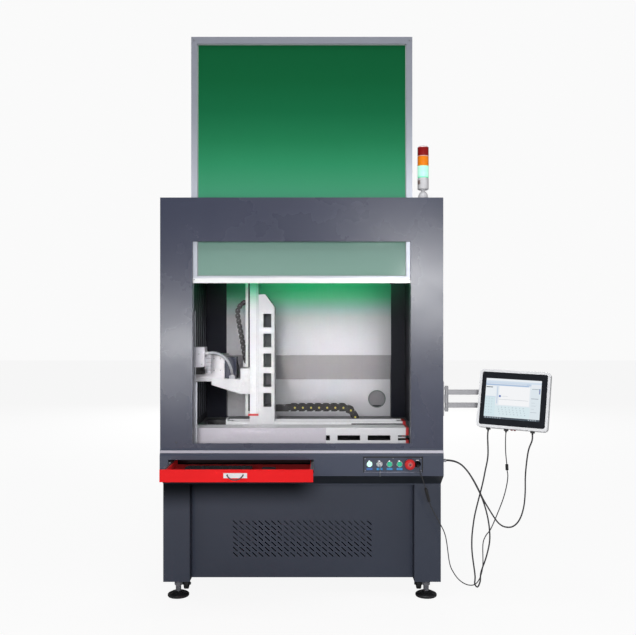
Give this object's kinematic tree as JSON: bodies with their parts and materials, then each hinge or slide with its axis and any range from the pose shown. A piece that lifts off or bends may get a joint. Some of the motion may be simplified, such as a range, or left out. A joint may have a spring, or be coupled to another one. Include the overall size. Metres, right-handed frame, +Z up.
{
  "type": "uv laser engraver",
  "caption": "Floor-standing laser engraving machine with a lifting safety door, gantry-mounted scan head, keyboard drawer, control panel, signal tower and swing-arm monitor.",
  "frame": {"origin": "centre of the footprint of the bounding box, on the floor", "axes": "+X to the operator's right, +Y from the operator to the back, +Z up"},
  "size_m": [1.7112, 1.5463, 2.534],
  "materials": {
    "frame_paint": "semi-gloss textured powder coat",
    "panel_paint": "fine textured powder coat",
    "belt_paint": "fine textured powder coat",
    "inner_dark": "matt dark powder coat",
    "back_white": "satin off-white paint",
    "silver": "brushed and clear anodised",
    "deck_grey": "satin paint",
    "steel": "zinc plated",
    "chrome": "polished",
    "tower_grey": "smooth moulding",
    "lens_green": "clear ribbed lens, lit",
    "lens_orange": "clear ribbed lens",
    "lens_red": "clear ribbed lens",
    "arm_grey": "satin anodised",
    "module_white": "smooth white powder coat",
    "cap_red": "moulded",
    "black_metal": "matt black",
    "unit_grey": "sheet metal case",
    "door_silver": "satin anodised extrusion",
    "window_green": "tinted clear sheet",
    "drawer_red": "gloss powder coat",
    "black_plastic": "moulded",
    "button_white": "lit translucent cap",
    "button_green": "moulded",
    "estop_red": "moulded",
    "wheel_rubber": "moulded tread",
    "monitor_white": "moulded",
    "screen": "smooth dark panel",
    "chain_black": "moulded links",
    "cord_grey": "smooth jacket"
  },
  "bodies": {
    "cabinet": {"base_frame": "frame_paint", "lower_front_panel": "frame_paint", "outer_panels": "panel_paint", "belt_shell": "belt_paint", "ledge_trim": "silver", "deck_plate": "deck_grey", "upper_frame": "inner_dark", "upper_front_panel": "panel_paint", "top_plate": "panel_paint", "chamber_back": "back_white", "door_guides": "silver", "drawer_slides": "steel", "control_plate": "belt_paint", "switch_bodies": "chrome", "tower_base": "tower_grey", "tower_green": "lens_green", "tower_orange": "lens_orange", "tower_red": "lens_red", "arm_bracket": "arm_grey", "bed_rails": "module_white", "x_module": "module_white", "end_caps": "cap_red", "electronics": "unit_grey", "caster_brackets": "black_metal", "cord_power": "cord_grey", "cord_video": "cord_grey", "cord_usb": "cord_grey", "cord_fittings": "black_plastic"},
    "door": {"door_frame": "door_silver", "door_window": "window_green"},
    "drawer": {"drawer_tray": "drawer_red", "drawer_handle": "chrome", "drawer_runners": "steel", "keyboard": "black_plastic", "mouse": "black_plastic"},
    "lamp": {"lamp_button": "button_white"},
    "button_left": {"green_button_left": "button_green"},
    "button_right": {"green_button_right": "button_green"},
    "key": {"key_switch": "chrome"},
    "estop": {"estop_head": "estop_red"},
    "foot_fl": {"foot_front_left": "black_plastic"},
    "foot_fr": {"foot_front_right": "black_plastic"},
    "foot_rl": {"foot_rear_left": "black_plastic"},
    "foot_rr": {"foot_rear_right": "black_plastic"},
    "wheel_fl": {"wheel_front_left": "wheel_rubber"},
    "wheel_fr": {"wheel_front_right": "wheel_rubber"},
    "wheel_rl": {"wheel_rear_left": "wheel_rubber"},
    "wheel_rr": {"wheel_rear_right": "wheel_rubber"},
    "swing_arm": {"arm": "arm_grey"},
    "mount": {"monitor_mount": "arm_grey"},
    "monitor": {"monitor_housing": "monitor_white", "monitor_glass": "screen", "monitor_plugs": "black_plastic"},
    "x_carriage": {"column": "module_white", "z_module": "module_white", "x_chain": "chain_black"},
    "head": {"z_carriage": "module_white", "laser_box": "module_white", "scan_head": "module_white", "z_chain": "chain_black"}
  },
  "joints": [
    {"name": "door_lift", "type": "slide", "parent": "cabinet", "child": "door", "axis": [0, 0, 1], "range_m": [-0.722, 0]},
    {"name": "drawer_slide", "type": "slide", "parent": "cabinet", "child": "drawer", "axis": [0, 1, 0], "range_m": [-0.1, 0.21]},
    {"name": "lamp_press", "type": "slide", "parent": "cabinet", "child": "lamp", "axis": [0, 1, 0], "range_m": [0, 0.003], "stiffness_N_per_m": 400, "springref_m": -0.002},
    {"name": "green_left_press", "type": "slide", "parent": "cabinet", "child": "button_left", "axis": [0, 1, 0], "range_m": [0, 0.003], "stiffness_N_per_m": 400, "springref_m": -0.002},
    {"name": "green_right_press", "type": "slide", "parent": "cabinet", "child": "button_right", "axis": [0, 1, 0], "range_m": [0, 0.003], "stiffness_N_per_m": 400, "springref_m": -0.002},
    {"name": "estop_press", "type": "slide", "parent": "cabinet", "child": "estop", "axis": [0, 1, 0], "range_m": [0, 0.0035]},
    {"name": "key_turn", "type": "hinge", "parent": "cabinet", "child": "key", "pos_m": [0.1165, -0.54, 0.63], "axis": [0, 1, 0], "range_deg": [0, 90]},
    {"name": "foot_fl_level", "type": "slide", "parent": "cabinet", "child": "foot_fl", "axis": [0, 0, 1], "range_m": [-0.03, 0]},
    {"name": "foot_fr_level", "type": "slide", "parent": "cabinet", "child": "foot_fr", "axis": [0, 0, 1], "range_m": [-0.03, 0]},
    {"name": "foot_rl_level", "type": "slide", "parent": "cabinet", "child": "foot_rl", "axis": [0, 0, 1], "range_m": [-0.03, 0]},
    {"name": "foot_rr_level", "type": "slide", "parent": "cabinet", "child": "foot_rr", "axis": [0, 0, 1], "range_m": [-0.03, 0]},
    {"name": "wheel_fl_spin", "type": "hinge", "parent": "cabinet", "child": "wheel_fl", "pos_m": [-0.775, -0.321, 0.029], "axis": [1, 0, 0], "continuous": true},
    {"name": "wheel_fr_spin", "type": "hinge", "parent": "cabinet", "child": "wheel_fr", "pos_m": [0.317, -0.321, 0.029], "axis": [1, 0, 0], "continuous": true},
    {"name": "wheel_rl_spin", "type": "hinge", "parent": "cabinet", "child": "wheel_rl", "pos_m": [-0.775, 0.631, 0.029], "axis": [1, 0, 0], "continuous": true},
    {"name": "wheel_rr_spin", "type": "hinge", "parent": "cabinet", "child": "wheel_rr", "pos_m": [0.317, 0.631, 0.029], "axis": [1, 0, 0], "continuous": true},
    {"name": "arm_swing", "type": "hinge", "parent": "cabinet", "child": "swing_arm", "pos_m": [0.417, -0.521, 0.918], "axis": [0, 0, 1], "range_deg": [-90, 15], "deforming": ["cord_power", "cord_video", "cord_usb"]},
    {"name": "monitor_pan", "type": "hinge", "parent": "swing_arm", "child": "mount", "pos_m": [0.738, -0.521, 0.918], "axis": [0, 0, 1], "range_deg": [0, 60]},
    {"name": "monitor_tilt", "type": "hinge", "parent": "mount", "child": "monitor", "pos_m": [0.71197, -0.57947, 0.909], "axis": [0.9131, -0.4066, -0.0297], "range_deg": [-8, 27]},
    {"name": "x_drive", "type": "slide", "parent": "cabinet", "child": "x_carriage", "axis": [1, 0, 0], "range_m": [-0.01, 0.54], "deforming": ["x_chain"]},
    {"name": "z_drive", "type": "slide", "parent": "x_carriage", "child": "head", "axis": [0, 0, 1], "range_m": [-0.06, 0.46], "deforming": ["z_chain"]}
  ]
}
